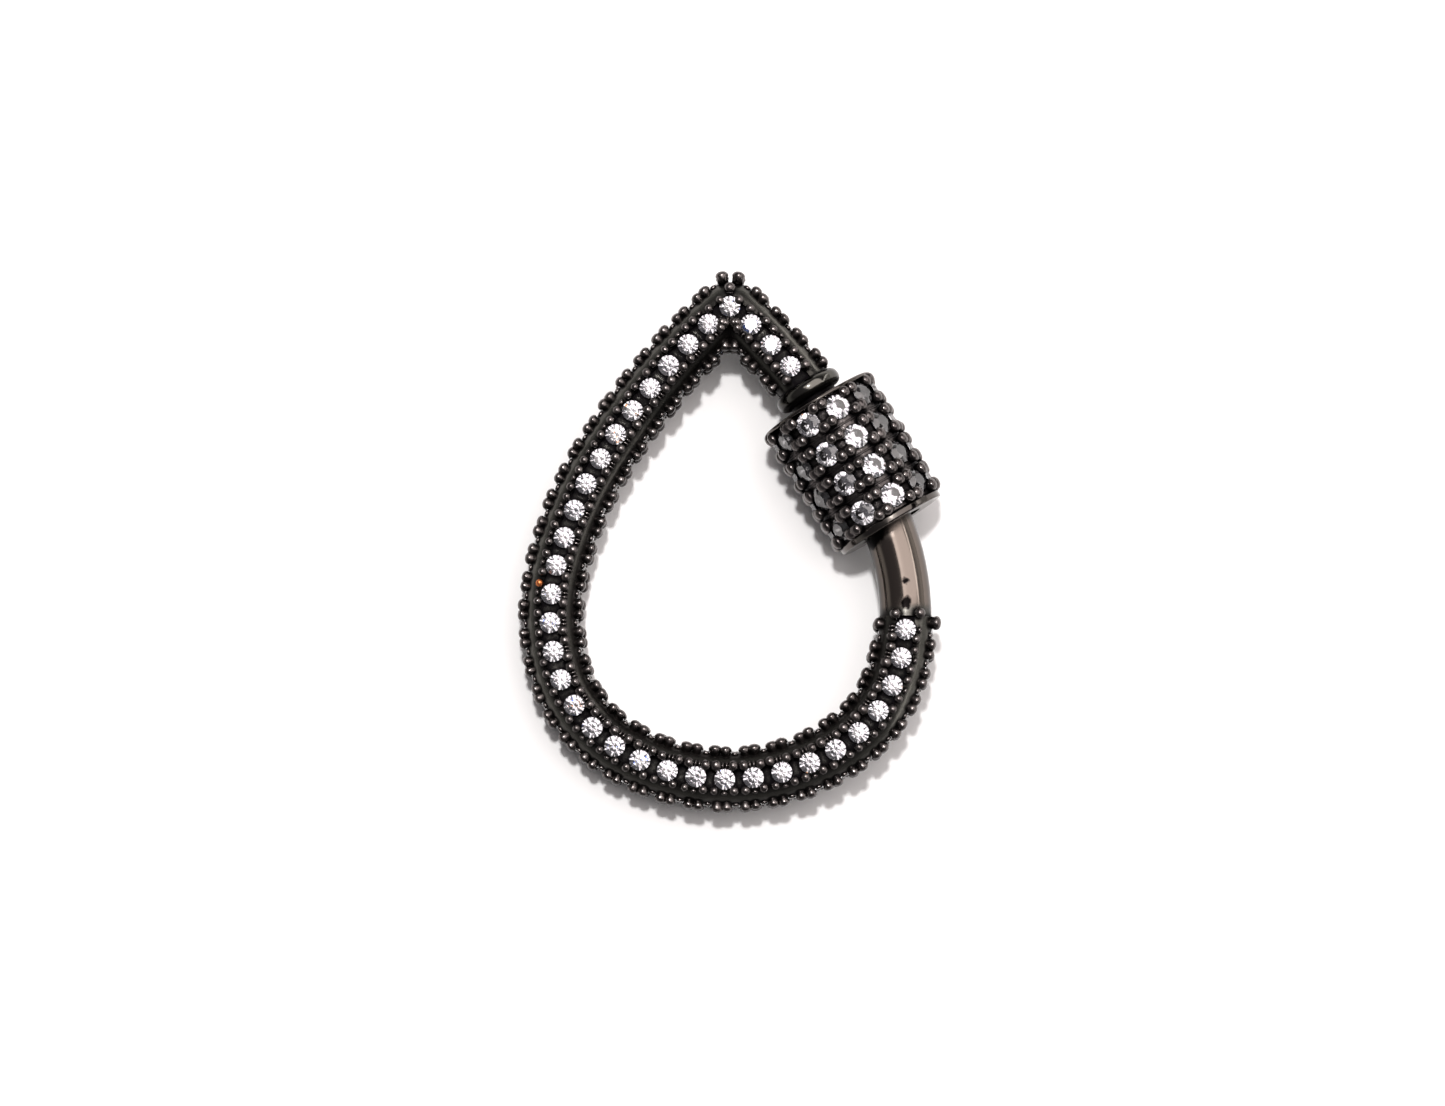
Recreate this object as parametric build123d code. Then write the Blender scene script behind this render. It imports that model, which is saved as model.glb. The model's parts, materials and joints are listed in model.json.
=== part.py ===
from build123d import *
import os
from collections import namedtuple
from math import asin, atan2, cos, degrees, radians, sin, sqrt

# Pear-shaped carabiner clasp with a screw barrel, pave set on all sides, lying on a level surface.
# It is drawn flat first: X across the pear, Y from its round bottom up to its apex, +Z the front.
# Then all of it is laid down together, resting on the barrel and on the far side of the pear.

# Pear: tangent bends of the centreline, from the middle of the bottom up one side to the apex
bottom_radius = 11.74
corner_radius = 7.84
side_radius = 11.07
shoulder_radius = 21.16
arm_radius = 38.66
apex_radius = 0.3
# angle that the centreline has turned by at the end of each bend, in degrees
bottom_turn = 30.0
corner_turn = 76.0
side_turn = 102.0
shoulder_turn = 122.0
# the pave ends where the right side has turned this far
pave_end_turn = 90.0

# Section of the cast body: nearly round, with a narrow channel sunk in each of its four sides
body_width = 3.0
body_corner = 1.3
channel_width = 1.0
channel_depth = 0.36

# Stones of the body, and the seats drilled for them
stone_diameter = 1.17
stone_pitch = 1.61
crown_height = 0.17
girdle_height = 0.05
pavilion_height = 0.45
table_share = 0.56
table_proud = 0.03
seat_clearance = 0.06
seat_floor_gap = 0.06
seat_overrun = 0.2

# Round-headed prongs hold the stones in pairs, and the clasp rests on their heads
prong_height = 0.45
prong_row_offset = 0.72

# Where each row starts at the apex and stops before the plain bar
face_first_stone = 1.577
apex_stone_shift = -0.03
outer_first_stone = 1.08
face_end_margin = 0.76
outer_end_margin = 1.10
inner_end_margin = 1.22

# Plain bar from the end of the pave to inside the barrel
bar_diameter = 2.9
bar_bend = 13.51
bar_reach = 3.3

# Collar at the end of the right arm, and the threaded stub below it
arm_length = 6.377
collar_diameter = 3.9
collar_height = 0.95
collar_round = 0.44
stub_diameter = 3.0
stub_length = 1.72
thread_pitch = 0.5
thread_depth = 0.12
# along one thread: where its flank rises, its crest starts and ends, and its flank is down again
thread_shares = (0.2, 0.45, 0.55, 0.8)

# Barrel: a threaded tube with a rim at each end, and a pave sleeve that turns on it
barrel_gap = 0.4
barrel_length = 8.04
top_rim_diameter = 6.8
top_rim_height = 0.2
bottom_rim_diameter = 6.4
bottom_rim_height = 0.42
rim_round = 0.1
rim_round_limit = 0.4
tube_diameter = 4.62
tube_bore = 4.12
thread_length = 0.9
thread_clearance = 0.06
mouth_bore = 3.62
running_clearance = 0.04
sleeve_diameter = 6.1
ring_count = 4
ring_stones = 10
ring_pitch = 1.915
ring_first = 1.02
groove_width = 0.1
groove_depth = 0.06
barrel_turn = 14.2
barrel_stone_diameter = 1.36
barrel_crown_height = 0.2
barrel_pavilion_height = 0.46
barrel_table_proud = 0.26
barrel_prong_height = 0.55

# Travel of the opened barrel along the bar: an arc about a far centre on the pear's inner side
travel = 3.4
travel_radius = 26.0
travel_foot = 1.5

half = body_width / 2
up = Vector(0, 0, 1)
MIN_Z = (Align.CENTER, Align.CENTER, Align.MIN)
MAX_Z = (Align.CENTER, Align.CENTER, Align.MAX)

Bend = namedtuple("Bend", "x y radius start end")


def pear_bends():
    """Bends of the left half of the centreline: centre, radius, and the turn at each end."""
    found, x, y, start = [], 0.0, 0.0, 0.0
    for radius, end in (
        (bottom_radius, bottom_turn),
        (corner_radius, corner_turn),
        (side_radius, side_turn),
        (shoulder_radius, shoulder_turn),
    ):
        centre_x = x + radius * sin(radians(start))
        centre_y = y + radius * cos(radians(start))
        found.append(Bend(centre_x, centre_y, radius, start, end))
        x = centre_x - radius * sin(radians(end))
        y = centre_y - radius * cos(radians(end))
        start = end
    arm_x = x + arm_radius * sin(radians(start))
    arm_y = y + arm_radius * cos(radians(start))
    # the apex bend is centred on the middle line and touches the arm's circle from inside
    between = arm_radius - apex_radius
    arm_end = 180 - degrees(asin(arm_x / between))
    found.append(Bend(arm_x, arm_y, arm_radius, start, arm_end))
    found.append(Bend(0.0, arm_y + sqrt(between**2 - arm_x**2), apex_radius, arm_end, 180.0))
    return found


bends = pear_bends()
arm_bend, apex_bend = bends[-2], bends[-1]


def leaving_turn(bend, offset):
    """Turn at which a line beside the centreline leaves a bend; inside the apex it ends at the mitre."""
    if bend is arm_bend and offset < -apex_radius:
        return 180 - degrees(asin(bend.x / (bend.radius + offset)))
    return bend.end


def line_length(offset, turn=180.0):
    """Length of the line beside the centreline, from the middle of the bottom to a given turn."""
    total = 0.0
    for bend in bends:
        if bend.radius + offset > 0 and bend.start < turn:
            left_at = min(turn, leaving_turn(bend, offset))
            total += (bend.radius + offset) * radians(left_at - bend.start)
    return total


def station(side, from_apex, offset=0.0):
    """Point on that line, its tangent up the side and its outward normal. Side -1 is left, 1 is right."""
    ahead = line_length(offset) - from_apex
    for bend in bends:
        radius = bend.radius + offset
        reach = radius * radians(leaving_turn(bend, offset) - bend.start)
        if ahead <= reach or bend is apex_bend or (offset < -apex_radius and bend is arm_bend):
            break
        ahead -= reach
    turn = radians(bend.start) + ahead / radius
    point = Vector(-side * (bend.x - radius * sin(turn)), bend.y - radius * cos(turn), 0)
    return point, Vector(side * cos(turn), sin(turn), 0), Vector(side * sin(turn), -cos(turn), 0)


def turn_at(from_apex):
    """Turn of the centreline at a distance from the apex."""
    normal = station(-1, from_apex)[2]
    return degrees(atan2(-normal.X, -normal.Y)) % 360


def row_offset(row):
    return {"outer": half, "inner": -half}.get(row, 0.0)


def row_plane(row, along, shift=0.0):
    """Plane on a row's face: x along the row, z out of the metal, its origin on the metal's highest line.

    along is the distance from the apex: positive down the left side and round, negative down the right arm.
    """
    offset, left = row_offset(row), line_length(row_offset(row))
    side = 1 if along < 0 or along > left else -1
    from_apex = 2 * left - along if along > left else abs(along)
    point, tangent, normal = station(side, from_apex, offset)
    out = {"front": up, "back": -up, "outer": normal, "inner": -normal}[row]
    level = Vector(0, 0, 0) if offset else out * half
    return Plane(origin=point + level + normal * shift, x_dir=tangent, z_dir=out)


def spaced(first, last, pitch):
    """Even steps nearest to the pitch, from the first distance to the last."""
    steps = max(1, round((last - first) / pitch))
    return [first + (last - first) * i / steps for i in range(steps + 1)]


def body_section(plane, inner_limit=half):
    """Section of the body: x points outward from the centreline, y to the front."""
    section = RectangleRounded(body_width, body_width, body_corner)
    for angle in (0, 90, 180, 270):
        section -= Rot(0, 0, angle) * Pos(half, 0) * Rectangle(2 * channel_depth, channel_width)
    kept = half + inner_limit
    return plane * (section & Pos(half - kept / 2, 0) * Rectangle(kept, body_width))


def bend_piece(bend, start, end, side, inner_limit=half):
    """Body turned about the centre of a bend, between two turns."""
    turn = radians(start)
    out = Vector(-sin(turn), -cos(turn), 0)
    centre = Vector(bend.x, bend.y, 0)
    plane = Plane(origin=centre + out * bend.radius, x_dir=out, z_dir=out.cross(up))
    piece = revolve(body_section(plane, inner_limit), Axis(centre, -up), end - start)
    return piece if side < 0 else mirror(piece, Plane.YZ)


def body_run(side, start, end):
    """Body along one side between two turns, mitred at the middle line of the pear."""
    reach = 4 * arm_radius
    own_side = Pos(side * reach / 2, 0, 0) * Box(reach, reach, reach)
    pieces = []
    for bend in bends[:-1]:
        low, high = max(start, bend.start), min(end, bend.end)
        if low < high:
            piece = bend_piece(bend, low, high, side)
            pieces.append(piece & own_side if bend is arm_bend else piece)
    return pieces


def pear_body():
    """Four-channelled body: the left side, the right side up to the bar, the right arm and the apex."""
    pieces = body_run(-1, 0, 180) + body_run(1, 0, pave_end_turn)
    pieces += body_run(1, turn_at(arm_length), 180)
    pieces.append(bend_piece(apex_bend, apex_bend.start, 360 - apex_bend.start, -1, apex_radius))
    return pieces[0].fuse(*pieces[1:]).clean()


# Barrel axis: from the collar's centre, touching the circle that the bar bends on
pave_end, _, pave_out = station(1, line_length(0) - line_length(0, pave_end_turn))
bar_centre = pave_end - pave_out * bar_bend
collar_centre = station(1, arm_length)[0]
to_centre = bar_centre - collar_centre
axis_down = to_centre.normalized().rotate(Axis.Z, degrees(asin(bar_bend / to_centre.length)))
axis_out = up.cross(axis_down)
bar_touch = bar_centre + axis_out * bar_bend

collar_face = collar_height / 2
barrel_top = collar_face + barrel_gap
barrel_bottom = barrel_top + barrel_length
stub_end = collar_face + stub_length
bar_tip = barrel_bottom - bar_reach
sleeve_top = barrel_top + top_rim_height
sleeve_bottom = barrel_bottom - bottom_rim_height


def on_axis(distance=0.0):
    """Plane across the barrel's axis below the collar's centre: x outward, y back, z down the axis."""
    return Plane(origin=collar_centre + axis_down * distance, x_dir=axis_out, z_dir=axis_down)


def round_length(diameter, start, end):
    """Round rod or hole along the barrel's axis between two distances from the collar's centre."""
    return on_axis(start) * Cylinder(diameter / 2, end - start, align=MIN_Z)


def turned(profile):
    """Solid turned about the barrel's axis from (radius, distance) corners."""
    lathe = Plane(origin=collar_centre, x_dir=axis_out, z_dir=axis_out.cross(axis_down))
    return revolve(lathe * make_face(Polyline(*profile, close=True)), Axis(collar_centre, axis_down), 360)


def round_bar():
    """Bar bent round from the end of the pave to the barrel's axis, then straight to its tip."""
    section = Plane(origin=pave_end, x_dir=pave_out, z_dir=up.cross(pave_out)) * Circle(bar_diameter / 2)
    bend_angle = degrees(atan2(pave_out.cross(axis_out).Z, pave_out.dot(axis_out)))
    bent = revolve(section, Axis(bar_centre, up), bend_angle)
    return bent + round_length(bar_diameter, bar_tip, (bar_touch - collar_centre).dot(axis_down))


def collar_and_stub():
    """Rounded collar on the arm's end, and the stub below it with a ridge for each turn of its thread."""
    collar = Cylinder(collar_diameter / 2, collar_height)
    collar = fillet(collar.edges().filter_by(GeomType.CIRCLE), collar_round)
    crest = stub_diameter / 2
    root = crest - thread_depth
    profile = [(0, 0), (root, 0)]
    turns = int((stub_end - barrel_top) / thread_pitch)
    for i in range(turns):
        start = stub_end - (turns - i) * thread_pitch
        levels = [start + thread_pitch * share for share in thread_shares]
        profile += zip((root, crest, crest, root), levels)
    profile += [(root, stub_end), (0, stub_end)]
    return on_axis() * collar + turned(profile)


def cut_stone(diameter, crown, pavilion, table_level):
    """Round stone: eight-sided table, sixteen crown facets, a thin girdle and eight pavilion facets."""
    rim, table = diameter / 2, diameter / 2 * table_share
    upper = table_level - crown
    lower = upper - girdle_height

    def corner(radius, step, z):
        return Vector(radius * cos(radians(22.5 * step)), radius * sin(radians(22.5 * step)), z)

    culet = Vector(0, 0, lower - pavilion)
    faces = [[corner(table, 2 * k, table_level) for k in range(8)]]
    for k in range(8):
        top, left, right = corner(table, 2 * k, table_level), 2 * k - 1, 2 * k + 1
        faces.append([top, corner(rim, left, upper), corner(rim, right, upper)])
        faces.append([top, corner(rim, right, upper), corner(table, 2 * k + 2, table_level)])
        low_left, low_right = corner(rim, left, lower), corner(rim, right, lower)
        faces.append([corner(rim, left, upper), low_left, low_right, corner(rim, right, upper)])
        faces.append([low_left, culet, low_right])
    return Solid(Shell([Face(Wire.make_polygon(corners)) for corners in faces]))


def seat(diameter, crown, pavilion, table_level):
    """Drill for a stone's seat: conical under the stone, straight from its girdle out past the metal."""
    girdle_level = table_level - crown - girdle_height
    floor = girdle_level - pavilion - seat_floor_gap
    radius = diameter / 2 + seat_clearance
    profile = [(0, floor), (seat_clearance, floor), (radius, girdle_level)]
    profile += [(radius, seat_overrun), (0, seat_overrun)]
    return revolve(Plane.XZ * make_face(Polyline(*profile, close=True)), Axis.Z, 360).solid()


def arm_limit(row):
    """Length of a row on the right arm, from the apex to the collar's face."""
    offset = row_offset(row)
    return line_length(offset) - line_length(offset, turn_at(arm_length)) - collar_face


def row_places(row, first, end_margin):
    """Stones of a row: down the left side and round to the bar, then down the right arm to the collar."""
    offset = row_offset(row)
    round_way = line_length(offset) + line_length(offset, pave_end_turn)
    places = [row_plane(row, along) for along in spaced(first, round_way - end_margin, stone_pitch)]
    along = first
    while along + stone_diameter / 2 < arm_limit(row):
        places.append(row_plane(row, -along))
        along += stone_pitch
    if offset == 0:
        places.append(row_plane(row, 0.0, apex_stone_shift))
    return places


def barrel_places():
    """Stones of the barrel: rings of stones square to its axis, their columns in line."""
    places = []
    for ring in range(ring_count):
        centre = on_axis(barrel_top + ring_first + ring * ring_pitch).origin
        for k in range(ring_stones):
            turn = radians(barrel_turn + 360 / ring_stones * k)
            out = axis_out * sin(turn) + up * cos(turn)
            places.append(Plane(origin=centre + out * sleeve_diameter / 2, x_dir=axis_down, z_dir=out))
    return places


def copies(shape, places):
    return [shape.moved(place.location) for place in places]


def rim(diameter, height, level):
    """Flat disc across the barrel's axis, its two edges rounded."""
    disc = Cylinder(diameter / 2, height, align=MIN_Z)
    edges = disc.edges().filter_by(GeomType.CIRCLE)
    return on_axis(level) * fillet(edges, min(rim_round, height * rim_round_limit))


def screw_tube():
    """Tube with a rim at each end: threaded bore above, wide inside, with a mouth for the bar below."""
    tube = round_length(tube_diameter, barrel_top, barrel_bottom)
    tube += rim(top_rim_diameter, top_rim_height, barrel_top)
    tube += rim(bottom_rim_diameter, bottom_rim_height, sleeve_bottom)
    thread_end = barrel_top + thread_length
    tube -= round_length(stub_diameter + 2 * thread_clearance, barrel_top, thread_end)
    tube -= round_length(tube_bore, thread_end, sleeve_bottom)
    return tube - round_length(mouth_bore, sleeve_bottom, barrel_bottom)


def pave_sleeve():
    """Sleeve between the rims, with a fine groove between rings and a seat for each stone."""
    start, end = sleeve_top + running_clearance, sleeve_bottom - running_clearance
    bore = tube_diameter + 2 * running_clearance
    sleeve = round_length(sleeve_diameter, start, end) - round_length(bore, start, end)
    for ring in range(ring_count - 1):
        middle = barrel_top + ring_first + (ring + 0.5) * ring_pitch
        groove_start, groove_end = middle - groove_width / 2, middle + groove_width / 2
        groove = round_length(sleeve_diameter + groove_width, groove_start, groove_end)
        sleeve -= groove - round_length(sleeve_diameter - 2 * groove_depth, groove_start, groove_end)
    return sleeve.cut(*copies(seat(*barrel_cut), barrel_places()))


stone_rows = {
    "front_stones": row_places("front", face_first_stone, face_end_margin),
    "back_stones": row_places("back", face_first_stone, face_end_margin),
    "outer_stones": row_places("outer", outer_first_stone, outer_end_margin),
    "inner_stones": row_places("inner", stone_pitch / 2, inner_end_margin),
}
body_cut = (stone_diameter, crown_height, pavilion_height, table_proud)
barrel_cut = (barrel_stone_diameter, barrel_crown_height, barrel_pavilion_height, barrel_table_proud)

frame = pear_body().fuse(round_bar().solid(), collar_and_stub().solid())
frame = frame.cut(*[drill for places in stone_rows.values() for drill in copies(seat(*body_cut), places)])

nodes = {"frame": frame, "barrel_tube": screw_tube(), "barrel_sleeve": pave_sleeve()}
for name, places in stone_rows.items():
    nodes[name] = Compound(copies(cut_stone(*body_cut), places))
nodes["barrel_stones"] = Compound(copies(cut_stone(*barrel_cut), barrel_places()))

# Laid down: the clasp rolls about the barrel's axis until prongs of barrel and far side meet one plane
rest_radius = sleeve_diameter / 2 + barrel_prong_height
prong_depth = half + prong_height
side_points = [station(-1, line_length(0) * i / 200, prong_row_offset)[0] for i in range(201)]
far_side = max((collar_centre - point).dot(axis_out) for point in side_points)
rest_turn = degrees(asin(rest_radius / sqrt(far_side**2 + prong_depth**2)) - atan2(prong_depth, far_side))
barrel_axis = Axis(collar_centre, axis_down)
nodes = {name: shape.rotate(barrel_axis, rest_turn) for name, shape in nodes.items()}

# Its origin is the centre of its box on the lowest level
box = Compound(list(nodes.values())).bounding_box()
to_origin = Vector(-(box.min.X + box.max.X) / 2, -(box.min.Y + box.max.Y) / 2, -box.min.Z)

os.makedirs("parts", exist_ok=True)
for name, shape in nodes.items():
    solids = shape.moved(Location(to_origin)).solids()
    export_step(solids[0] if len(solids) == 1 else Compound(solids), f"parts/{name}.step")
    print(name, len(solids), "solids", round(sum(solid.volume for solid in solids), 3), "mm3")

rest_out = axis_out.rotate(barrel_axis, rest_turn)
travel_centre = collar_centre + axis_down * travel_foot - rest_out * travel_radius
print("barrel axis through", collar_centre + to_origin, "along", axis_down)
print("travel centre", travel_centre + to_origin, "axis", axis_down.cross(rest_out))
print("travel", round(degrees(travel / travel_radius), 3), "degrees, rest turn", round(rest_turn, 3))
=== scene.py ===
import json
from math import asin, atan2, cos, pi, radians, sin, tan
from random import Random

import bmesh
import bpy
from mathutils import Matrix, Vector


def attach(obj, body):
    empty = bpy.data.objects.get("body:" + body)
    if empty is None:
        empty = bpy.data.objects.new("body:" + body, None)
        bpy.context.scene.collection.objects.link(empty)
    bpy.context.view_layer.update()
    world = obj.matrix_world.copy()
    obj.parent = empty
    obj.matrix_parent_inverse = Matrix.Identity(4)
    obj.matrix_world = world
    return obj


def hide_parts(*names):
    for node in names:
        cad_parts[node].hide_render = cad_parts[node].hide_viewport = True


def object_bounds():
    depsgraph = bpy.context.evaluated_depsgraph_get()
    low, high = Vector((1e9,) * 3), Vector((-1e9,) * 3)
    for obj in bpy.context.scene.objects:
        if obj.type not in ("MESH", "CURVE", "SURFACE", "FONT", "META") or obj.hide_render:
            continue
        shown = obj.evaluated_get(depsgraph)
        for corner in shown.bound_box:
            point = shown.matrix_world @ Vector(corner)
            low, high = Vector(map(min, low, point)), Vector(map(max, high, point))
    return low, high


# The clasp's solids: one casting with its bar and collar, the barrel's screw tube and its sleeve, and
# five groups of stones. The metal keeps its meshes, and the barrel turns about its own axis.
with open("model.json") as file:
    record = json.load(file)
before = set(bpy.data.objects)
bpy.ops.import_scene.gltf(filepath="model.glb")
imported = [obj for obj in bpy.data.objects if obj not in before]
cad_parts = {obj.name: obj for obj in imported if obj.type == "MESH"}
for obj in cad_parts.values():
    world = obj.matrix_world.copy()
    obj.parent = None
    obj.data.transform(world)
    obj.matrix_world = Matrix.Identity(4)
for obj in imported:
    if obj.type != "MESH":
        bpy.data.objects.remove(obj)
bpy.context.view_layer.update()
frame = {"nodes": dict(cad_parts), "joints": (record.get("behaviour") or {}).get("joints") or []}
mm = 0.001
sleeve_turn = next(joint for joint in frame["joints"] if joint["name"] == "barrel_turn")
barrel_axis_point, barrel_axis = Vector(sleeve_turn["pos_m"]), Vector(sleeve_turn["axis"]).normalized()


# Camera: the clasp is seen through a long lens from almost straight above, a little from its left and
# from its round bottom.
camera_distance = 260 * mm
camera_aim = Vector((-0.524, -0.479, 2.5)) * mm
camera_lean_left, camera_lean_down, camera_roll = radians(2.591), radians(6.384), radians(-0.349)
toward_camera = Vector((-tan(camera_lean_left), -tan(camera_lean_down), 1)).normalized()
camera_right = Vector((sin(camera_roll), cos(camera_roll), 0)).cross(toward_camera).normalized()
camera_up = toward_camera.cross(camera_right)
camera_place = Matrix((camera_right, camera_up, toward_camera)).transposed().to_4x4()
camera_place.translation = camera_aim + toward_camera * camera_distance
camera = bpy.data.objects.new("camera", bpy.data.cameras.new("camera"))
camera.data.sensor_width = 36
camera.data.lens = 115.86
camera.data.clip_start = 0.02
camera.matrix_world = camera_place
bpy.context.scene.collection.objects.link(camera)
bpy.context.scene.camera = camera


# Studio light: a dim tent with a bright strip on its right wall and a pale horizon, a broad warm panel
# overhead to the right, and a small lamp from the top of the picture for the prongs' clear shadows.
world = bpy.data.worlds.new("light_tent")
bpy.context.scene.world = world
world.use_nodes = True
tent = world.node_tree
tent_light = tent.nodes["Background"]
tent_direction = tent.nodes.new("ShaderNodeTexCoord")
tent_side = tent.nodes.new("ShaderNodeVectorMath")
tent_side.operation = "DOT_PRODUCT"
tent_side.inputs[1].default_value = (0.97, 0.15, -0.15)
tent_ramp = tent.nodes.new("ShaderNodeValToRGB")
tent.links.new(tent_direction.outputs["Generated"], tent_side.inputs[0])
tent.links.new(tent_side.outputs["Value"], tent_ramp.inputs[0])
tent_stops = tent_ramp.color_ramp.elements
tent_grey = (0.10, 0.094, 0.098, 1)
tent_stops[0].position, tent_stops[0].color = 0.0, tent_grey
tent_stops[1].position, tent_stops[1].color = 0.60, tent_grey
dark_gap, bright_strip, right_wall = 0.03, 3.0, 0.36
for position, brightness in (
    (0.655, dark_gap),
    (0.70, dark_gap),
    (0.715, bright_strip),
    (0.765, bright_strip),
    (0.785, right_wall),
    (1.0, right_wall),
):
    tent_stops.new(position).color = (brightness, brightness * 0.96, brightness * 0.94, 1)
tent_height = tent.nodes.new("ShaderNodeSeparateXYZ")
horizon_ramp = tent.nodes.new("ShaderNodeValToRGB")
horizon_stops = horizon_ramp.color_ramp.elements
horizon_stops[0].position, horizon_stops[0].color = 0.18, (0.36, 0.36, 0.34, 1)
horizon_stops[1].position, horizon_stops[1].color = 0.38, (0, 0, 0, 1)
tent_sum = tent.nodes.new("ShaderNodeMixRGB")
tent_sum.blend_type = "ADD"
tent_sum.inputs[0].default_value = 1.0
tent.links.new(tent_direction.outputs["Generated"], tent_height.inputs[0])
tent.links.new(tent_height.outputs["Z"], horizon_ramp.inputs[0])
tent.links.new(tent_ramp.outputs["Color"], tent_sum.inputs[1])
tent.links.new(horizon_ramp.outputs["Color"], tent_sum.inputs[2])
tent.links.new(tent_sum.outputs[0], tent_light.inputs["Color"])
tent_light.inputs["Strength"].default_value = 1.0


def soft_panel(name, direction, distance, width, height, radiance, tint):
    """Flat light panel that faces the clasp from a direction, as bright as the radiance."""
    panel = bpy.data.lights.new(name, "AREA")
    panel.shape = "RECTANGLE"
    panel.size, panel.size_y = width, height
    panel.energy = radiance * pi * width * height
    panel.color = tint
    light = bpy.data.objects.new(name, panel)
    light.location = Vector(direction).normalized() * distance
    light.rotation_euler = light.location.to_track_quat("Z", "Y").to_euler()
    bpy.context.scene.collection.objects.link(light)


soft_panel(
    "overhead_panel", direction=(0.26, 0.30, 1.0), distance=0.40,
    width=0.54, height=0.42, radiance=1.8, tint=(1.0, 0.93, 0.91),
)
soft_panel(
    "top_lamp", direction=(-0.07, 0.20, 1.0), distance=0.42,
    width=0.026, height=0.026, radiance=540, tint=(1.0, 0.98, 0.97),
)


# Cast metal: brass with a bright black gunmetal plating. The castings keep their lumpy skin, which is
# a little matt, the bar and the collar are polished, and recesses get painted shade: black and matt.
recess_shade_black, stain_and_shade_black = (0.004, 0.0035, 0.004), (0.006, 0.005, 0.005)
painted_inner_shade_black, painted_underside_shade = (0.045, 0.041, 0.038), (0.012, 0.011, 0.011)
warm_bar = (0.250, 0.211, 0.184)
polished_roughness, recess_shade_roughness = 0.12, 0.6
polished_bump, cast_bump = 0.12, 0.9
polish_edge, stain_and_shade_edge = 0.3 * mm, 0.12 * mm


def plated_metal(
    name, tones, roughness, lump_size, lump_height, recess,
    polished=(), stains_and_shade=(), shade_toward=None, shaded_below=None,
):
    """Gunmetal plating, mottled between two tones.

    recess: how near a shelter counts, and how open a spot is where the painted black shade is full and where
    it ends.
    polished, stains: (centre, radius) balls; polished ones are glossier, the first also warmer; stains ones
    are blackened as real stain marks and as painted shade. shade_toward: the side facing this point gets
    painted shade.
    shaded_below: how far up a surface faces where its painted shade is full and where it ends; faces toward
    -Y get it too.
    """
    metal = bpy.data.materials.new(name)
    metal.use_nodes = True
    nodes, links = metal.node_tree.nodes, metal.node_tree.links
    shader = nodes["Principled BSDF"]
    shader.inputs["Metallic"].default_value = 1.0
    texture = nodes.new("ShaderNodeTexCoord")
    place = texture.outputs["Object"]

    def cloud(size, detail):
        noise = nodes.new("ShaderNodeTexNoise")
        noise.inputs["Scale"].default_value = 1 / size
        noise.inputs["Detail"].default_value = detail
        links.new(place, noise.inputs["Vector"])
        return noise

    def ranged(value, from_range, to_range):
        change = nodes.new("ShaderNodeMapRange")
        for socket, number in zip(list(change.inputs)[1:5], (*from_range, *to_range)):
            socket.default_value = number
        links.new(value, change.inputs["Value"])
        return change.outputs[0]

    def mixed(share, first, second):
        mix = nodes.new("ShaderNodeMixRGB")
        links.new(share, mix.inputs[0])
        for socket, colour in zip(list(mix.inputs)[1:], (first, second)):
            if isinstance(colour, tuple):
                socket.default_value = (*colour, 1)
            else:
                links.new(colour, socket)
        return mix.outputs[0]

    def outside(balls, point, softness):
        """0 inside the balls, 1 outside."""
        share = None
        for centre, radius in balls:
            apart = nodes.new("ShaderNodeVectorMath")
            apart.operation = "DISTANCE"
            apart.inputs[1].default_value = centre
            links.new(point, apart.inputs[0])
            one = ranged(apart.outputs["Value"], (radius, radius + softness), (0, 1))
            if share:
                least = nodes.new("ShaderNodeMath")
                least.operation = "MINIMUM"
                links.new(share, least.inputs[0])
                links.new(one, least.inputs[1])
                one = least.outputs[0]
            share = one
        return share

    tone = cloud(2.2 * mm, 3)
    colour = mixed(tone.outputs["Fac"], *tones)
    cast_share = outside(polished, place, polish_edge)
    if polished:
        colour = mixed(outside(polished[:1], place, polish_edge), warm_bar, colour)
    # painted shade: ambient occlusion blackens recesses, the gaps between stones and the rims of the prong
    # heads
    hollow = nodes.new("ShaderNodeAmbientOcclusion")
    hollow.samples = 8
    hollow.inputs["Distance"].default_value = recess[0]
    open_share = ranged(hollow.outputs["AO"], recess[1:], (0, 1))
    colour = mixed(open_share, recess_shade_black, colour)
    # real stain marks and balls of painted shade, blackened with a ragged edge
    if stains_and_shade:
        ragged = nodes.new("ShaderNodeVectorMath")
        ragged.operation = "MULTIPLY_ADD"
        ragged.inputs[1].default_value = (0.5 * mm, 0.5 * mm, 0.5 * mm)
        links.new(cloud(0.4 * mm, 3).outputs["Color"], ragged.inputs[0])
        links.new(place, ragged.inputs[2])
        colour = mixed(outside(stains_and_shade, ragged.outputs[0], stain_and_shade_edge), stain_and_shade_black, colour)
    # painted shade: the casting's sides that face the middle of the loop are darkened
    if shade_toward:
        inward, facing = nodes.new("ShaderNodeVectorMath"), nodes.new("ShaderNodeVectorMath")
        inward.operation, facing.operation = "SUBTRACT", "NORMALIZE"
        inward.inputs[0].default_value = shade_toward
        links.new(place, inward.inputs[1])
        links.new(inward.outputs[0], facing.inputs[0])
        inner_side = nodes.new("ShaderNodeVectorMath")
        inner_side.operation = "DOT_PRODUCT"
        links.new(facing.outputs[0], inner_side.inputs[0])
        links.new(nodes.new("ShaderNodeNewGeometry").outputs["Normal"], inner_side.inputs[1])
        painted_inner_shade = nodes.new("ShaderNodeMath")
        painted_inner_shade.operation = "MULTIPLY"
        links.new(ranged(inner_side.outputs["Value"], (0.42, 0.70), (0, 1)), painted_inner_shade.inputs[0])
        links.new(cast_share, painted_inner_shade.inputs[1])
        colour = mixed(painted_inner_shade.outputs[0], colour, painted_inner_shade_black)
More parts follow.
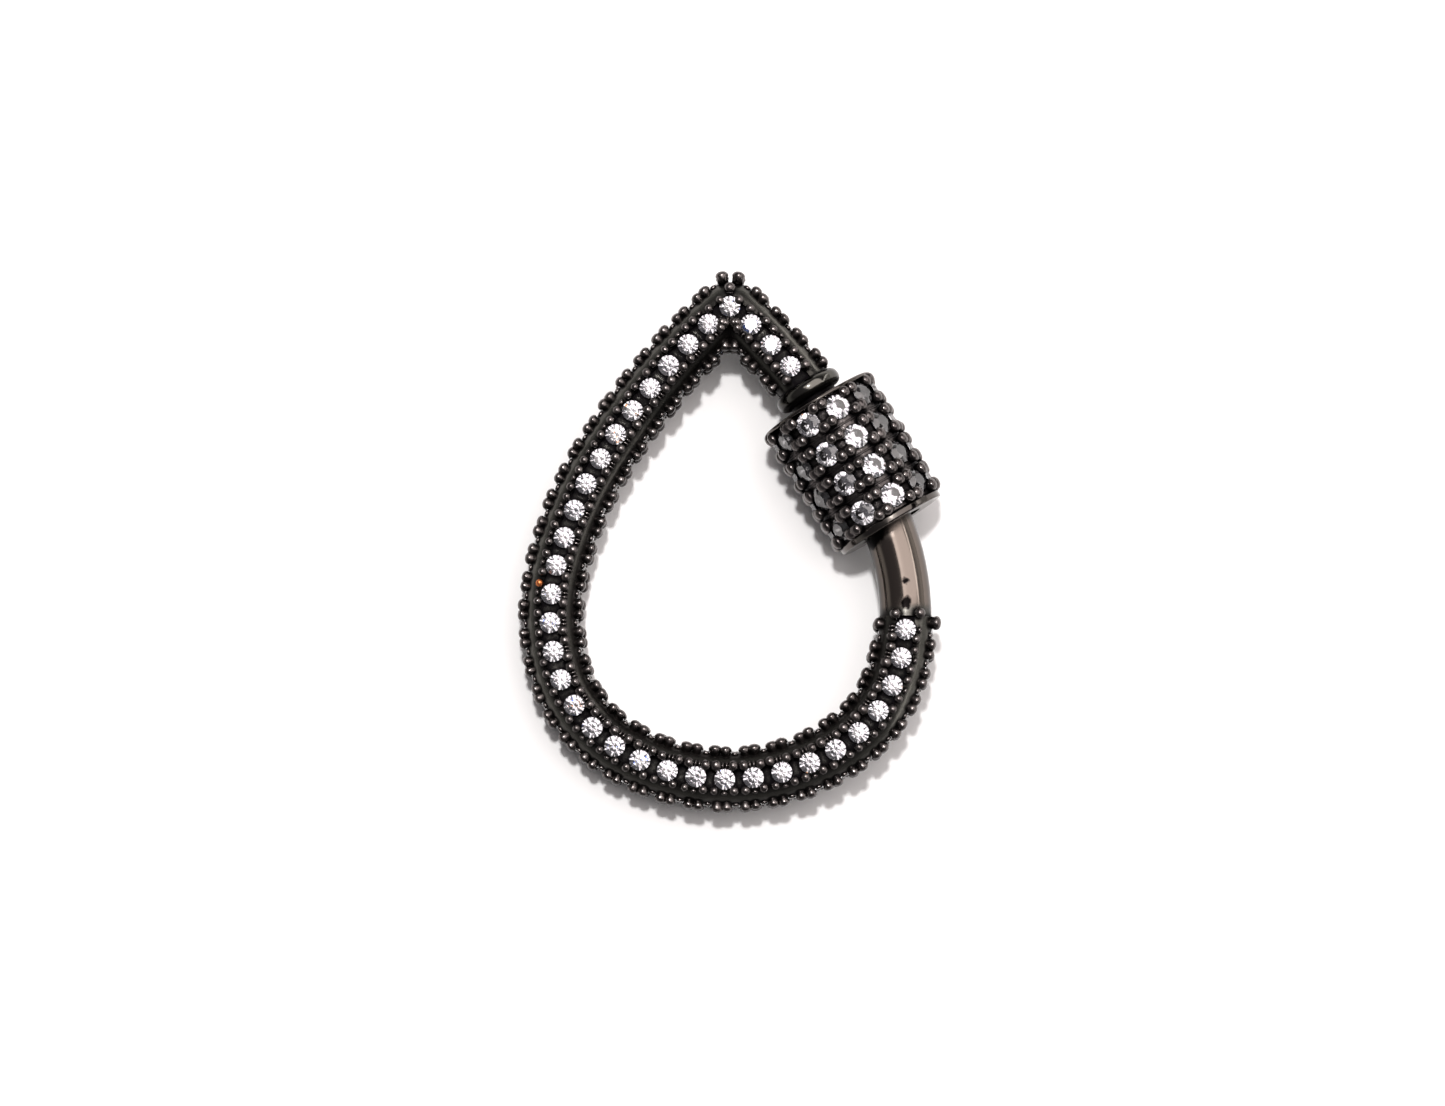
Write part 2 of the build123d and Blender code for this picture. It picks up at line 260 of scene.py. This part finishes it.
    # painted shade: surfaces that face down, and those facing -Y away from the top lamp, are darkened
    if shaded_below:
        height = nodes.new("ShaderNodeSeparateXYZ")
        links.new(texture.outputs["Normal"], height.inputs[0])
        lit = nodes.new("ShaderNodeMath")
        lit.operation = "MULTIPLY"
        links.new(ranged(height.outputs["Z"], shaded_below, (0, 1)), lit.inputs[0])
        links.new(ranged(height.outputs["Y"], (-0.75, -0.25), (0.25, 1)), lit.inputs[1])
        colour = mixed(lit.outputs[0], painted_underside_shade, colour)
    links.new(colour, shader.inputs["Base Color"])

    lumps = cloud(lump_size, 2)
    bump = nodes.new("ShaderNodeBump")
    bump.inputs["Distance"].default_value = lump_height
    links.new(lumps.outputs["Fac"], bump.inputs["Height"])
    links.new(bump.outputs["Normal"], shader.inputs["Normal"])
    gloss = ranged(tone.outputs["Fac"], (0.3, 0.7), (roughness * 0.8, roughness * 1.2))
    if polished:
        links.new(ranged(cast_share, (0, 1), (polished_bump, cast_bump)), bump.inputs["Strength"])
        gloss = mixed(cast_share, (polished_roughness,) * 3, gloss)
    else:
        bump.inputs["Strength"].default_value = cast_bump
    links.new(mixed(open_share, (recess_shade_roughness,) * 3, gloss), shader.inputs["Roughness"])
    return metal


bar_middle = Vector((9.3, 0.15, 3.0)) * mm
# three real stain marks on the bar near the pave, and two balls of painted shade where the bar enters the
# barrel
bar_stains_and_shade = [
    (Vector((9.80, -1.93, 4.96)) * mm, 0.12 * mm),
    (Vector((9.87, -3.07, 4.92)) * mm, 0.24 * mm),
    (Vector((9.80, -3.32, 4.91)) * mm, 0.16 * mm),
    (Vector((8.00, 0.40, 4.30)) * mm, 0.50 * mm),
    (Vector((8.40, 0.80, 4.55)) * mm, 0.45 * mm),
]
# painted shade: a black spot on the barrel's rim stands for the dark inside of a pit
rim_pit_shade = [(Vector((10.13, 2.03, 6.62)) * mm, 0.16 * mm)]
loop_centre = Vector((-0.4, -4.1, 3.0)) * mm
collar_edge = barrel_axis_point + barrel_axis * 0.6 * mm
polished_balls = [(bar_middle, 3.95 * mm), (collar_edge, 2.1 * mm)]
olive_tones = ((0.112, 0.109, 0.099), (0.172, 0.166, 0.150))
tube_tones = ((0.085, 0.077, 0.071), (0.125, 0.112, 0.103))
dark_tones = ((0.104, 0.094, 0.092), (0.160, 0.143, 0.139))
# the casting gets painted shade on its sides toward the loop's middle and on its undersides
gunmetal = plated_metal(
    "gunmetal", olive_tones, roughness=0.22, lump_size=0.8 * mm, lump_height=0.025 * mm,
    recess=(0.8 * mm, 0.70, 0.92), polished=polished_balls, stains_and_shade=bar_stains_and_shade,
    shade_toward=loop_centre, shaded_below=(0.2, 0.92),
)
gunmetal_tube = plated_metal(
    "gunmetal_tube", tube_tones, roughness=0.15, lump_size=0.8 * mm, lump_height=0.02 * mm,
    recess=(0.8 * mm, 0.4, 0.7), stains_and_shade=rim_pit_shade,
)
gunmetal_sleeve = plated_metal(
    "gunmetal_sleeve", dark_tones, roughness=0.22, lump_size=0.35 * mm, lump_height=0.08 * mm,
    recess=(1.0 * mm, 0.60, 0.90),
)
gunmetal_prong = plated_metal(
    "gunmetal_prong", dark_tones, roughness=0.27, lump_size=0.45 * mm, lump_height=0.04 * mm,
    recess=(0.4 * mm, 0.18, 0.52), shaded_below=(-0.2, 0.5),
)
gunmetal_barrel_prong = plated_metal(
    "gunmetal_barrel_prong", dark_tones, roughness=0.20, lump_size=0.45 * mm, lump_height=0.04 * mm,
    recess=(0.6 * mm, 0.45, 0.88),
)
for node, metal in (("frame", gunmetal), ("barrel_tube", gunmetal_tube), ("barrel_sleeve", gunmetal_sleeve)):
    frame["nodes"][node].data.materials.clear()
    frame["nodes"][node].data.materials.append(metal)


# Stones: clear round brilliants, 57 facets with a thin girdle. They sit in the seats of the casting
# and of the sleeve, so each is put where the solid's eight-sided table is.
def stone_tables(node):
    """Each table of a group of stones: its centre, its outward direction and its corners."""
    bm = bmesh.new()
    bm.from_mesh(frame["nodes"][node].data)
    bmesh.ops.remove_doubles(bm, verts=bm.verts, dist=1e-6)
    bmesh.ops.dissolve_limit(bm, angle_limit=radians(1), verts=bm.verts, edges=bm.edges)
    tables = []
    for face in bm.faces:
        if len(face.verts) == 8:
            corners = [corner.co.copy() for corner in face.verts]
            tables.append((sum(corners, Vector()) / 8, face.normal.copy(), corners))
    bm.free()
    return tables


def stone_places(node, along_hint, across_hint):
    """Place of each stone: x along its row, y across it, z outward and its origin at the table's centre."""
    tables = stone_tables(node)
    places = []
    for centre, out, corners in tables:
        wanted = along_hint
        if wanted is None:
            nearest = sorted(tables, key=lambda table: (table[0] - centre).length)
            wanted = nearest[1][0] - nearest[2][0]
        along = max((corner - centre for corner in corners), key=lambda v: v.dot(wanted)).normalized()
        across = out.cross(along)
        if across_hint and across.dot(across_hint(centre)) < 0:
            along, across = -along, -across
        place = Matrix((along, across, out)).transposed().to_4x4()
        place.translation = centre
        places.append(place)
    return places


def brilliant(radius, crown, pavilion, back):
    """Mesh of one brilliant whose table is at z = 0; its pavilion has the material with the number back."""
    bm = bmesh.new()
    girdle = 0.04 * mm
    # corners of the table, of the kites above, of the girdle's two edges and of the lower facets
    for count, share, level, turn in (
        (8, 0.56, 0.0, 0.0),
        (8, 0.80, -0.58 * crown, 22.5),
        (16, 1.0, -crown, 0.0),
        (16, 1.0, -crown - girdle, 0.0),
        (8, 0.24, -crown - girdle - 0.79 * pavilion, 22.5),
    ):
        ring_place = Matrix.Translation((0, 0, level)) @ Matrix.Rotation(radians(turn), 4, "Z")
        bmesh.ops.create_circle(bm, segments=count, radius=radius * share, matrix=ring_place)
    bmesh.ops.create_vert(bm, co=(0, 0, -crown - girdle - pavilion))
    bmesh.ops.delete(bm, geom=bm.edges, context="EDGES_FACES")
    bmesh.ops.convex_hull(bm, input=bm.verts)
    bmesh.ops.recalc_face_normals(bm, faces=bm.faces)
    for face in bm.faces:
        if face.calc_center_median().z < -crown - girdle:
            face.material_index = back
    mesh = bpy.data.meshes.new("brilliant")
    bm.to_mesh(mesh)
    bm.free()
    return mesh


def set_copies(name, copies, materials, smooth):
    """One piece made of (mesh, place) copies."""
    bm = bmesh.new()
    for single, place in copies:
        first = len(bm.verts)
        bm.from_mesh(single)
        bm.verts.ensure_lookup_table()
        bmesh.ops.transform(bm, matrix=place, verts=bm.verts[first:])
    for face in bm.faces:
        face.smooth = smooth
    mesh = bpy.data.meshes.new(name)
    bm.to_mesh(mesh)
    bm.free()
    for material in materials:
        mesh.materials.append(material)
    piece = bpy.data.objects.new(name, mesh)
    bpy.context.scene.collection.objects.link(piece)
    return piece


def stone_back(name, brightness):
    """Silvered back of a stone, with rare painted specks of colour for the light the stone splits; a low
    brightness is painted shade.
    """
    back = bpy.data.materials.new(name)
    back.use_nodes = True
    nodes, links = back.node_tree.nodes, back.node_tree.links
    place, speckle = nodes.new("ShaderNodeTexCoord"), nodes.new("ShaderNodeTexNoise")
    speckle.inputs["Scale"].default_value = 1 / (0.28 * mm)
    speckle.inputs["Detail"].default_value = 1
    painted_fire = nodes.new("ShaderNodeValToRGB")
    links.new(place.outputs["Object"], speckle.inputs["Vector"])
    links.new(speckle.outputs["Fac"], painted_fire.inputs[0])
    links.new(painted_fire.outputs["Color"], nodes["Principled BSDF"].inputs["Base Color"])
    white = (brightness, brightness, brightness * 1.02, 1)
    stops = painted_fire.color_ramp.elements
    stops[0].position, stops[0].color = 0.22, (brightness, brightness * 0.45, brightness * 0.15, 1)
    stops[1].position, stops[1].color = 0.25, white
    stops.new(0.76).color = white
    stops.new(0.79).color = (brightness * 0.25, brightness * 0.4, brightness, 1)
    nodes["Principled BSDF"].inputs["Metallic"].default_value = 1.0
    nodes["Principled BSDF"].inputs["Roughness"].default_value = 0.07
    return back


clear_stone = bpy.data.materials.new("clear_stone")
clear_stone.use_nodes = True
stone_shader = clear_stone.node_tree.nodes["Principled BSDF"]
stone_shader.inputs["Base Color"].default_value = (0.99, 0.99, 1.0, 1)
stone_shader.inputs["Transmission Weight"].default_value = 1.0
stone_shader.inputs["Roughness"].default_value = 0.0
stone_shader.inputs["IOR"].default_value = 2.1
# the shaded back is the bright back darkened: painted shade for stones that face away from the light
stone_materials = (clear_stone, stone_back("stone_back", 0.95), stone_back("shaded_back", 0.22))
setting = Random(11)


def away_from_loop(point):
    """Level direction from the middle of the loop to a point."""
    return Vector((point.x - loop_centre.x, point.y - loop_centre.y, 0))


def leaned(most):
    """A lean at random about X and about Y, each by this many degrees at most."""
    about_x = Matrix.Rotation(radians(setting.uniform(-most, most)), 4, "X")
    return about_x @ Matrix.Rotation(radians(setting.uniform(-most, most)), 4, "Y")


def set_by_hand(place):
    """The place tipped a little and turned at random."""
    tipped = place @ leaned(4)
    return tipped @ Matrix.Rotation(setting.uniform(0, 2 * pi), 4, "Z")


bright_back, painted_shade_back = 1, 2
body_stone = brilliant(radius=0.585 * mm, crown=0.17 * mm, pavilion=0.515 * mm, back=bright_back)
row_places = {}
for row in ("front", "back", "outer", "inner"):
    across_hint = away_from_loop if row in ("front", "back") else lambda point: Vector((0, 0, 1))
    row_places[row] = stone_places(row + "_stones", None, across_hint)
    copies = [(body_stone, set_by_hand(place)) for place in row_places[row]]
    stones = set_copies(row + "_brilliants", copies, stone_materials, False)
    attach(stones, "frame")
    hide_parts(row + "_stones")
sleeve_places = stone_places("barrel_stones", barrel_axis, None)
top_stone, painted_shade_stone = (
    brilliant(radius=0.69 * mm, crown=0.2 * mm, pavilion=0.52 * mm, back=back)
    for back in (bright_back, painted_shade_back)
)
# only the stones that face up at rest have the bright back; the rest get a darkened back as painted shade
faces_up = 0.8
copies = [
    (top_stone if place.col[2].z > faces_up else painted_shade_stone, set_by_hand(place)) for place in sleeve_places
]
stones = set_copies("barrel_brilliants", copies, stone_materials, False)
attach(stones, "barrel_sleeve")
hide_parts("barrel_stones")


# Prongs of the body: round-headed beads cast with the metal, two pairs in each gap between stones,
# larger on the sides than on the faces. The plating of one front prong has worn down to the brass.
prong_root = -0.36 * mm


def prong(head_radius, neck_radius, height, root=prong_root, metal=0):
    """Mesh of one prong: a flattened head, whose top is at the height, on a neck down to the root."""
    half_depth = 0.70 * head_radius
    neck_top = height - 1.6 * half_depth
    bm = bmesh.new()
    bmesh.ops.create_uvsphere(bm, u_segments=12, v_segments=6, radius=head_radius)
    bmesh.ops.scale(bm, verts=bm.verts, vec=(1, 1, half_depth / head_radius))
    bmesh.ops.translate(bm, verts=bm.verts, vec=(0, 0, height - half_depth))
    for vert in bm.verts:
        if vert.co.z < neck_top:
            flat = Vector((vert.co.x, vert.co.y))
            flat = flat.normalized() * neck_radius if flat.length > head_radius * 0.1 else flat * 0
            vert.co = (flat.x, flat.y, root)
    for face in bm.faces:
        face.material_index = metal
    mesh = bpy.data.meshes.new("prong")
    bm.to_mesh(mesh)
    bm.free()
    return mesh


def between(first, second, share, across):
    """Place a share of the way from one stone's place to the next, moved across the row."""
    ends = [place @ Vector((0, across, 0)) for place in (first, second)]
    out = first.to_3x3().col[2].lerp(second.to_3x3().col[2], share).normalized()
    along = (ends[1] - ends[0]).normalized()
    side = out.cross(along).normalized()
    place = Matrix((side.cross(out), side, out)).transposed().to_4x4()
    place.translation = ends[0].lerp(ends[1], share)
    return place


def turn_round_loop(place):
    """Angle round the loop, from the barrel's side over the apex and the bottom to the bar."""
    away = away_from_loop(place.translation)
    return (atan2(away.y, away.x) - radians(40)) % (2 * pi)


def uneven(place):
    """The place moved, leaned, widened and raised a little, as no two cast heads are alike."""
    moved = Matrix.Translation([setting.uniform(-0.03, 0.03) * mm for _ in range(3)])
    tilted = leaned(7)
    size = setting.uniform(0.95, 1.07)
    length, width = (size * setting.uniform(0.94, 1.06) for _ in range(2))
    return place @ moved @ tilted @ Matrix.Diagonal((length, width, setting.uniform(0.93, 1.05), 1))


worn_prong_point = Vector((-10.63, -2.37, 3.56)) * mm
worn_copper = bpy.data.materials.new("worn_copper")
worn_copper.use_nodes = True
copper_shader = worn_copper.node_tree.nodes["Principled BSDF"]
copper_shader.inputs["Base Color"].default_value = (0.62, 0.20, 0.07, 1)
copper_shader.inputs["Metallic"].default_value = 1.0
copper_shader.inputs["Roughness"].default_value = 0.38
face_prong = prong(head_radius=0.285 * mm, neck_radius=0.23 * mm, height=0.42 * mm)
outer_face_prong = prong(head_radius=0.24 * mm, neck_radius=0.195 * mm, height=0.38 * mm)
worn_prong = prong(head_radius=0.21 * mm, neck_radius=0.18 * mm, height=0.40 * mm, metal=1)
face_end_prong = prong(head_radius=0.31 * mm, neck_radius=0.25 * mm, height=0.42 * mm)
side_prong = prong(head_radius=0.335 * mm, neck_radius=0.26 * mm, height=0.31 * mm)
side_end_prong = prong(head_radius=0.375 * mm, neck_radius=0.30 * mm, height=0.36 * mm)
collar_reach = 4 * mm
for row, places in row_places.items():
    on_face = row in ("front", "back")
    single, last = (face_prong, face_end_prong) if on_face else (side_prong, side_end_prong)
    prong_across = (0.69 if on_face else 0.72) * mm
    prong_share = 0.3125 if on_face else 0.325
    collar_gap = (-0.38 if on_face else 0) * mm
    places = sorted(places, key=turn_round_loop)
    copies = []
    for first, second in zip(places, places[1:]):
        nearest_middle = min(abs(place.translation.x) for place in (first, second))
        at_apex = nearest_middle < 0.3 * mm and first.translation.y > 10 * mm
        over_apex = first.translation.x > 0 > second.translation.x and first.translation.y > 7 * mm
        if over_apex and not on_face:
            continue
        for across in (-prong_across, prong_across):
            if at_apex and on_face and across < 0:
                continue
            mesh = outer_face_prong if on_face and across > 0 else single
            for share in (prong_share, 1 - prong_share):
                copies.append((mesh, between(first, second, share, across)))
    for across in (-prong_across, prong_across):
        copies.append((single, between(places[1], places[0], 1 + prong_share, across)))
        if not on_face:
            copies.append((single, between(places[1], places[0], 2 - prong_share, across)))
        copies.append((last, between(places[-2], places[-1], 1.53 if on_face else 1.48, across)))
    copies = [
        (mesh, place) for mesh, place in copies
        if (place.translation - barrel_axis_point).length > collar_reach
        or (place.translation - barrel_axis_point).dot(barrel_axis) < collar_gap
    ]
    if row == "front":
        worn = min(range(len(copies)), key=lambda i: (copies[i][1].translation - worn_prong_point).length)
        copies[worn] = (worn_prong, copies[worn][1])
    copies = [(mesh, uneven(place)) for mesh, place in copies]
    prongs = set_copies(row + "_prongs", copies, (gunmetal_prong, worn_copper), True)
    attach(prongs, "frame")

# At the apex the beads crowd together: one on the crown of each face and two under its stone,
# a large pair at the top on each side line, and a pair in the inner corner.
apex_stone = max(row_places["front"], key=lambda place: place.translation.y)
apex_out = apex_stone.to_3x3().col[2]
rightward = Vector((1, 0, 0))
apex_ahead = apex_out.cross(rightward).normalized()


def apex_point(out, right, ahead):
    """Point out from the apex stone's table, and this many millimetres to the right and ahead of it."""
    beside = apex_ahead * ahead * mm + rightward * right * mm
    return apex_stone.translation + apex_out * out + beside


copies = []
body_thickness = 3.0 * mm
for level, facing in ((0, 1), (-body_thickness, -1)):
    for mesh, right, ahead, sunk in (
        (face_end_prong, 0, 1.04, 0.12 * mm),
        (face_prong, 0.40, -0.92, 0),
        (face_prong, -0.40, -0.92, 0),
    ):
        out = apex_out * facing
        place = Matrix((rightward, out.cross(rightward), out)).transposed().to_4x4()
        place.translation = apex_point(level - facing * sunk, right, ahead)
        copies.append((mesh, place))
for down in (0.78 * mm, 2.22 * mm):
    for mesh, right, ahead, lean, facing in (
        (side_end_prong, 0.45, 1.70, 10, 1),
        (side_end_prong, -0.45, 1.70, -10, 1),
        (side_end_prong, 0.27, -2.08, 0, -1),
        (side_end_prong, -0.27, -2.08, 0, -1),
    ):
        out = Matrix.Rotation(radians(-lean), 3, "Z") @ (apex_ahead * facing)
        place = Matrix((apex_out.cross(out), apex_out, -out)).transposed().to_4x4()
        place = place @ Matrix.Rotation(pi, 4, "X")
        place.translation = apex_point(-down, right, ahead)
        copies.append((mesh, place))
prongs = set_copies("apex_prongs", copies, (gunmetal_prong,), True)
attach(prongs, "frame")


# Ridges of the body: beside each stone, between its prongs, the metal is cut into low rounded steps,
# two across the row on the loop's side and a long one on the other side.
def bead(length, width, height):
    """Mesh of a low rounded bump, half sunk at z = 0."""
    bm = bmesh.new()
    bmesh.ops.create_uvsphere(bm, u_segments=8, v_segments=4, radius=0.5)
    bmesh.ops.scale(bm, verts=bm.verts, vec=(length, width, 2 * height))
    mesh = bpy.data.meshes.new("bead")
    bm.to_mesh(mesh)
    bm.free()
    return mesh


step = bead(length=0.21 * mm, width=0.46 * mm, height=0.20 * mm)
lip = bead(length=0.40 * mm, width=0.24 * mm, height=0.12 * mm)
step_along, step_across, step_sunk = 0.11 * mm, 0.74 * mm, 0.12 * mm
lip_across, lip_sunk = 0.78 * mm, 0.13 * mm
for row, places in row_places.items():
    copies = [(lip, place @ Matrix.Translation((0, lip_across, -lip_sunk))) for place in places]
    for along in (-step_along, step_along):
        beside = Matrix.Translation((along, -step_across, -step_sunk))
        copies += [(step, place @ beside) for place in places]
    ridges = set_copies(row + "_ridges", copies, (gunmetal_prong,), True)
    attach(ridges, "frame")


# Prongs of the barrel: larger heads in pairs round each stone, higher than the stones,
# and a fine raised line on the sleeve between each two rings of stones.
sleeve_radius, table_above_sleeve = 3.05 * mm, 0.26 * mm
sleeve_prong_along = 0.56 * mm
sleeve_prong_turn = asin(0.72 * mm / sleeve_radius)
sleeve_prong = prong(head_radius=0.36 * mm, neck_radius=0.30 * mm, height=0.55 * mm, root=-0.1 * mm)
copies = []
for place in sleeve_places:
    foot = place.copy()
    foot.translation = place @ Vector((0, 0, -table_above_sleeve))
    for end in (-1, 1):
        for side in (-1, 1):
            turned = Matrix.Rotation(side * sleeve_prong_turn, 4, barrel_axis)
            to_axis = Matrix.Translation(barrel_axis_point)
            about_axis = to_axis @ turned @ Matrix.Translation(-barrel_axis_point)
            along_axis = Matrix.Translation(barrel_axis * end * sleeve_prong_along)
            copies.append((sleeve_prong, uneven(about_axis @ along_axis @ foot)))


def level_down_axis(place):
    """Millimetres from the collar's centre down the barrel's axis."""
    return round((place.translation - barrel_axis_point).dot(barrel_axis) / mm, 2)


ring_levels = sorted({level_down_axis(place) for place in sleeve_places})
line_radius, line_lift = 0.045 * mm, 0.01 * mm
bm = bmesh.new()
across_axis = barrel_axis.cross(Vector((0, 0, 1))).normalized()
for low, high in zip(ring_levels, ring_levels[1:]):
    on_axis = barrel_axis_point + barrel_axis * (low + high) / 2 * mm
    section = Matrix((barrel_axis, across_axis, barrel_axis.cross(across_axis))).transposed().to_4x4()
    section.translation = on_axis + across_axis * (sleeve_radius + line_lift)
    start = bmesh.ops.create_circle(bm, segments=6, radius=line_radius, matrix=section)["verts"]
    edges = list({edge for vert in start for edge in vert.link_edges})
    bmesh.ops.spin(
        bm, geom=start + edges, cent=on_axis, axis=barrel_axis, angle=2 * pi, steps=72, use_merge=True,
    )
bmesh.ops.recalc_face_normals(bm, faces=bm.faces)
raised_lines = bpy.data.meshes.new("raised_lines")
bm.to_mesh(raised_lines)
bm.free()
copies.append((raised_lines, Matrix.Identity(4)))
prongs = set_copies("barrel_prongs", copies, (gunmetal_barrel_prong,), True)
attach(prongs, "barrel_sleeve")


# Floor: a plain white paper sheet, level and larger than the picture. The clasp stands on it on its
# lowest prongs.
floor_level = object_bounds()[0].z
bm = bmesh.new()
bmesh.ops.create_grid(bm, x_segments=1, y_segments=1, size=1.5)
bmesh.ops.translate(bm, verts=bm.verts, vec=(0, 0, floor_level))
floor_mesh = bpy.data.meshes.new("floor")
bm.to_mesh(floor_mesh)
bm.free()
white_sheet = bpy.data.materials.new("white_sheet")
white_sheet.use_nodes = True
sheet_shader = white_sheet.node_tree.nodes["Principled BSDF"]
sheet_shader.inputs["Base Color"].default_value = (0.98, 0.98, 0.98, 1)
sheet_shader.inputs["Roughness"].default_value = 0.6
floor_mesh.materials.append(white_sheet)
floor = bpy.data.objects.new("floor", floor_mesh)
bpy.context.scene.collection.objects.link(floor)

bpy.context.scene.view_settings.view_transform = "Standard"
